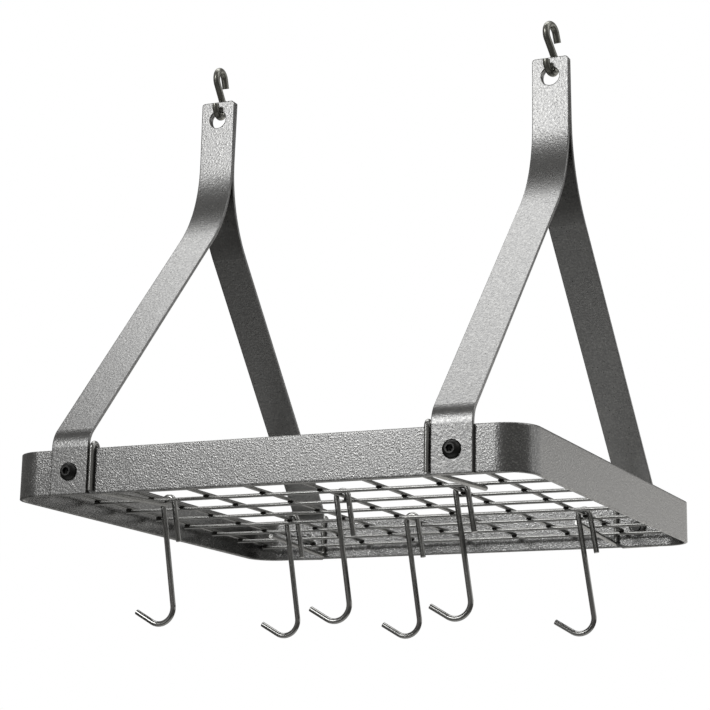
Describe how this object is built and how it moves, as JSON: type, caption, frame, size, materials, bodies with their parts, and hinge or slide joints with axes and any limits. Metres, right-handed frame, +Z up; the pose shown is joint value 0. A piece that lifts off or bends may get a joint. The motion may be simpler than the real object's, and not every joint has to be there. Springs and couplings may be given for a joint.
{
  "type": "hanging pot rack",
  "caption": "ceiling-hung pot rack: a square flat-bar rim with a wire grid, bent strap arms, S-hooks and hooks for pans",
  "frame": {"origin": "the point that carries the rack, midway between the inside tops of the two ceiling S-hooks' upper loops", "axes": "+X to the right along the front side, +Y to the rear, +Z up; the rim's front and rear sides carry the straps"},
  "size_m": [0.424, 0.4394, 0.5018],
  "materials": {
    "rim_steel": "hammered steel-grey coating on flat bar",
    "strap_steel": "fine hammered steel-grey coating on bent flat bar",
    "black_bolt": "black oxide on machine screws",
    "wire_steel": "grey drawn wire, welded where it crosses",
    "rod_steel": "grey drawn rod",
    "hanger_steel": "dark olive-grey bent rod",
    "hook_steel": "dark polished wire with bright highlights"
  },
  "bodies": {
    "ceiling_hooks": {"hanger_left": "hanger_steel", "hanger_right": "hanger_steel"},
    "frame": {"rim": "rim_steel", "strap_front_left": "strap_steel", "strap_front_right": "strap_steel", "strap_rear_left": "strap_steel", "strap_rear_right": "strap_steel", "bolt_front_left": "black_bolt", "bolt_front_right": "black_bolt", "bolt_rear_left": "black_bolt", "bolt_rear_right": "black_bolt", "nut_front_left": "rim_steel", "nut_front_right": "rim_steel", "nut_rear_left": "rim_steel", "nut_rear_right": "rim_steel"},
    "grid": {"long_wire_1": "wire_steel", "long_wire_2": "wire_steel", "long_wire_3": "wire_steel", "long_wire_4": "wire_steel", "long_wire_5": "wire_steel", "long_wire_6": "wire_steel", "long_wire_7": "wire_steel", "long_wire_8": "wire_steel", "long_wire_9": "wire_steel", "cross_wire_1": "wire_steel", "cross_wire_2": "wire_steel", "cross_wire_3": "wire_steel", "cross_wire_4": "wire_steel", "cross_wire_5": "wire_steel", "cross_wire_6": "wire_steel", "cross_wire_7": "wire_steel", "cross_wire_8": "wire_steel", "cross_wire_9": "wire_steel", "grid_hook_front_left": "rod_steel", "grid_hook_front_right": "rod_steel", "grid_hook_rear_left": "rod_steel", "grid_hook_rear_right": "rod_steel"},
    "swinging_hook_1": {"pot_hook_1": "hook_steel"},
    "swinging_hook_2": {"pot_hook_2": "hook_steel"},
    "swinging_hook_3": {"pot_hook_3": "hook_steel"},
    "swinging_hook_4": {"pot_hook_4": "hook_steel"},
    "swinging_hook_5": {"pot_hook_5": "hook_steel"},
    "swinging_hook_6": {"pot_hook_6": "hook_steel"}
  },
  "joints": [
    {"name": "rack_swing", "type": "hinge", "parent": "ceiling_hooks", "child": "frame", "pos_m": [0, 0, -0.031], "axis": [1, 0, 0], "range_deg": [-25, 25]},
    {"name": "grid_lift", "type": "slide", "parent": "frame", "child": "grid", "axis": [0, 0, 1], "range_m": [0, 0.035]},
    {"name": "pot_hook_swing_1", "type": "hinge", "parent": "grid", "child": "swinging_hook_1", "pos_m": [-0.15, -0.072, -0.39472], "axis": [0, 1, 0], "range_deg": [-50, 50]},
    {"name": "pot_hook_swing_2", "type": "hinge", "parent": "grid", "child": "swinging_hook_2", "pos_m": [-0.1, 0.054, -0.39472], "axis": [0, 1, 0], "range_deg": [-50, 50]},
    {"name": "pot_hook_swing_3", "type": "hinge", "parent": "grid", "child": "swinging_hook_3", "pos_m": [0, -0.059, -0.39472], "axis": [0, 1, 0], "range_deg": [-50, 50]},
    {"name": "pot_hook_swing_4", "type": "hinge", "parent": "grid", "child": "swinging_hook_4", "pos_m": [0, 0.083, -0.39472], "axis": [0, 1, 0], "range_deg": [-50, 50]},
    {"name": "pot_hook_swing_5", "type": "hinge", "parent": "grid", "child": "swinging_hook_5", "pos_m": [0.1, -0.054, -0.39472], "axis": [0, 1, 0], "range_deg": [-50, 50]},
    {"name": "pot_hook_swing_6", "type": "hinge", "parent": "grid", "child": "swinging_hook_6", "pos_m": [0.15, 0.096, -0.39472], "axis": [0, 1, 0], "range_deg": [-50, 50]}
  ]
}
